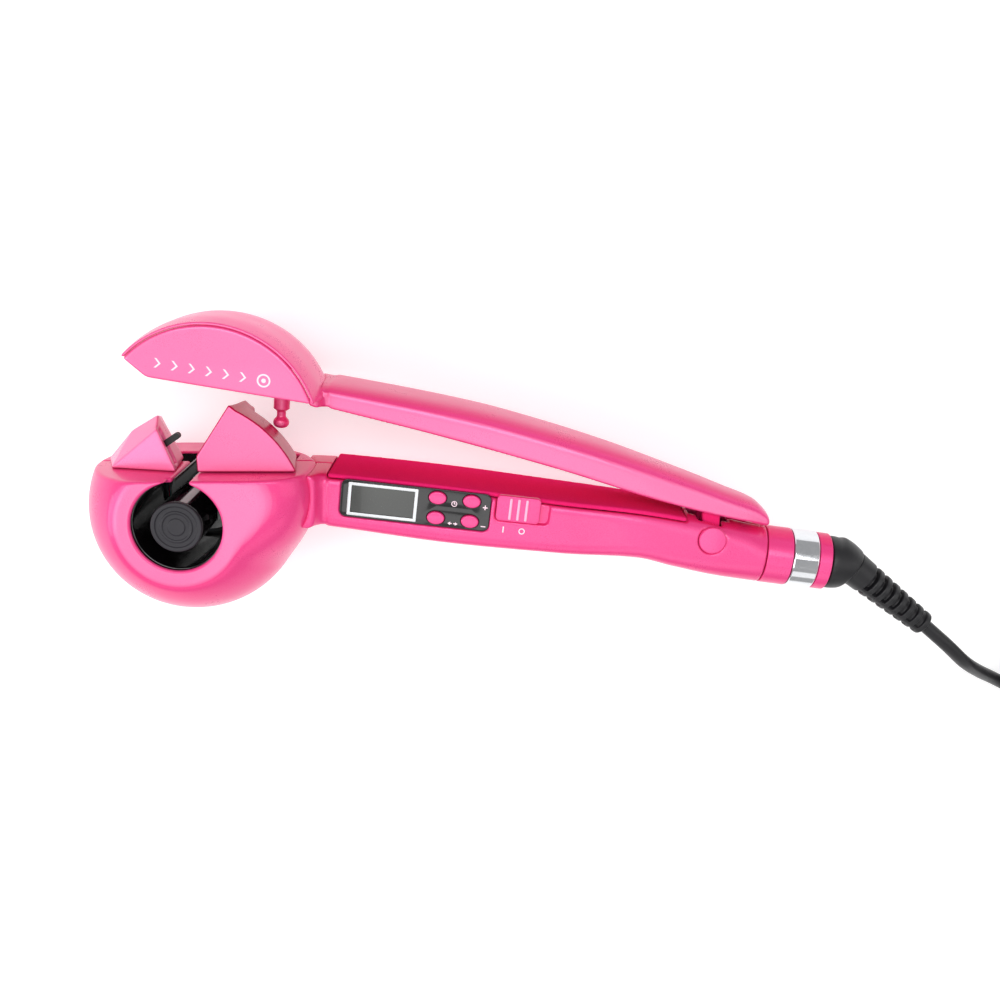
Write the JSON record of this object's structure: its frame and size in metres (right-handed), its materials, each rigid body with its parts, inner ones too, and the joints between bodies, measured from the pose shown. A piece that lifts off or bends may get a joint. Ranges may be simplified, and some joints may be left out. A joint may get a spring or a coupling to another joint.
{
  "type": "automatic hair curler",
  "caption": "Automatic hair curler: a ball head with a heated winding chamber, a sprung jaw on an upper arm, a display handle and a swivelling mains cord.",
  "frame": {"origin": "on the winding chamber's axis, in the middle of the head's flat back face, which is the plane that the curler lies on", "axes": "+X along the handle towards the cord, +Y towards the jaw, +Z out of the mouth of the chamber; right-handed"},
  "size_m": [0.5046, 0.1922, 0.066],
  "materials": {
    "pink_shell": "glossy pearl pink moulding",
    "deep_pink": "deeper pink inner moulding",
    "gloss_black": "polished black, high-temperature",
    "dark_plastic": "fine matte charcoal",
    "black_rubber": "matte black flexible plastic",
    "white_plastic": "plain natural plastic",
    "steel": "plain bright steel",
    "chrome": "polished",
    "brass": "plain",
    "lcd": "grey-green display window",
    "board": "green laminate"
  },
  "bodies": {
    "body": {"head_front_shell": "pink_shell", "head_rear_shell": "pink_shell", "hair_guide_right": "pink_shell", "hair_guide_left": "pink_shell", "lower_handle_front_shell": "pink_shell", "lower_handle_rear_shell": "pink_shell", "hinge_cap_front": "pink_shell", "hinge_cap_rear": "pink_shell", "tail_collar": "pink_shell", "tail_end_ring": "pink_shell", "lower_handle_inner_cover": "deep_pink", "chamber_liner": "gloss_black", "heater_barrel": "gloss_black", "display_panel": "gloss_black", "barrel_end_cap": "dark_plastic", "barrel_stem": "dark_plastic", "gear_plate": "dark_plastic", "jaw_switch": "black_rubber", "power_switch_body": "black_rubber", "cord_lead": "black_rubber", "cord_coil": "black_rubber", "coil_tie": "black_rubber", "plug_lead": "black_rubber", "plug_body": "black_rubber", "heating_element": "white_plastic", "thermal_fuse": "white_plastic", "swivel_bush": "white_plastic", "head_screw_1": "steel", "head_screw_2": "steel", "head_screw_3": "steel", "hair_finger_pin": "steel", "idler_axle": "steel", "motor": "steel", "lcd_frame": "steel", "hinge_pin": "steel", "chrome_ring": "chrome", "plug_blade_1": "brass", "plug_blade_2": "brass", "lcd_glass": "lcd", "control_board": "board"},
    "upper_arm": {"jaw_shell": "pink_shell", "jaw_face_plate": "pink_shell", "jaw_post": "pink_shell", "upper_handle_shell": "pink_shell", "upper_handle_inner_cover": "deep_pink", "jaw_spring": "steel"},
    "winder": {"rotor": "gloss_black", "rotor_gear": "white_plastic"},
    "idler": {"idler_gear": "white_plastic"},
    "drive": {"motor_pinion": "brass", "motor_shaft": "steel"},
    "finger": {"hair_finger": "black_rubber"},
    "switch_knob": {"power_switch_knob": "pink_shell"},
    "plunger": {"jaw_switch_plunger": "white_plastic"},
    "mode_key": {"button_mode": "pink_shell"},
    "plus_key": {"button_plus": "pink_shell"},
    "timer_key": {"button_timer": "pink_shell"},
    "minus_key": {"button_minus": "pink_shell"},
    "swivel": {"swivel_elbow": "black_rubber", "cord_boot": "black_rubber"}
  },
  "joints": [
    {"name": "jaw_hinge", "type": "hinge", "parent": "body", "child": "upper_arm", "pos_m": [0.1983, -0.0114, 0.033], "axis": [0, 0, 1], "range_deg": [0, 8.2], "stiffness_Nm_per_rad": 0.5, "springref_deg": -20.05},
    {"name": "winder_spin", "type": "hinge", "parent": "body", "child": "winder", "pos_m": [0, 0, 0.033], "axis": [0, 0, 1], "continuous": true},
    {"name": "idler_spin", "type": "hinge", "parent": "body", "child": "idler", "pos_m": [0.02191, -0.00201, 0.0127], "axis": [0, 0, 1], "continuous": true},
    {"name": "motor_spin", "type": "hinge", "parent": "body", "child": "drive", "pos_m": [0.0225, -0.014, 0.0127], "axis": [0, 0, 1], "continuous": true},
    {"name": "power_slide", "type": "slide", "parent": "body", "child": "switch_knob", "axis": [0.9936, -0.1132, 0], "range_m": [0, 0.0034]},
    {"name": "mode_press", "type": "slide", "parent": "body", "child": "mode_key", "axis": [0, 0, -1], "range_m": [0, 0.0008], "stiffness_N_per_m": 250, "springref_m": -0.002},
    {"name": "plus_press", "type": "slide", "parent": "body", "child": "plus_key", "axis": [0, 0, -1], "range_m": [0, 0.0008], "stiffness_N_per_m": 250, "springref_m": -0.002},
    {"name": "timer_press", "type": "slide", "parent": "body", "child": "timer_key", "axis": [0, 0, -1], "range_m": [0, 0.0008], "stiffness_N_per_m": 250, "springref_m": -0.002},
    {"name": "minus_press", "type": "slide", "parent": "body", "child": "minus_key", "axis": [0, 0, -1], "range_m": [0, 0.0008], "stiffness_N_per_m": 250, "springref_m": -0.002},
    {"name": "jaw_switch_press", "type": "slide", "parent": "body", "child": "plunger", "axis": [0, -1, 0], "range_m": [0, 0.0008], "stiffness_N_per_m": 100, "springref_m": -0.002},
    {"name": "hair_finger_pivot", "type": "hinge", "parent": "body", "child": "finger", "pos_m": [-0.011, 0.0242, 0.046], "axis": [0, 0, -1], "range_deg": [0, 16], "stiffness_Nm_per_rad": 0.004, "springref_deg": -17.19},
    {"name": "cord_swivel", "type": "hinge", "parent": "body", "child": "swivel", "pos_m": [0.2318, -0.022, 0.033], "axis": [0.991, -0.134, 0], "continuous": true}
  ],
  "couplings": [
    {"joint": "idler_spin", "follows": "winder_spin", "ratio": -1.75},
    {"joint": "motor_spin", "follows": "winder_spin", "ratio": 3.5}
  ]
}
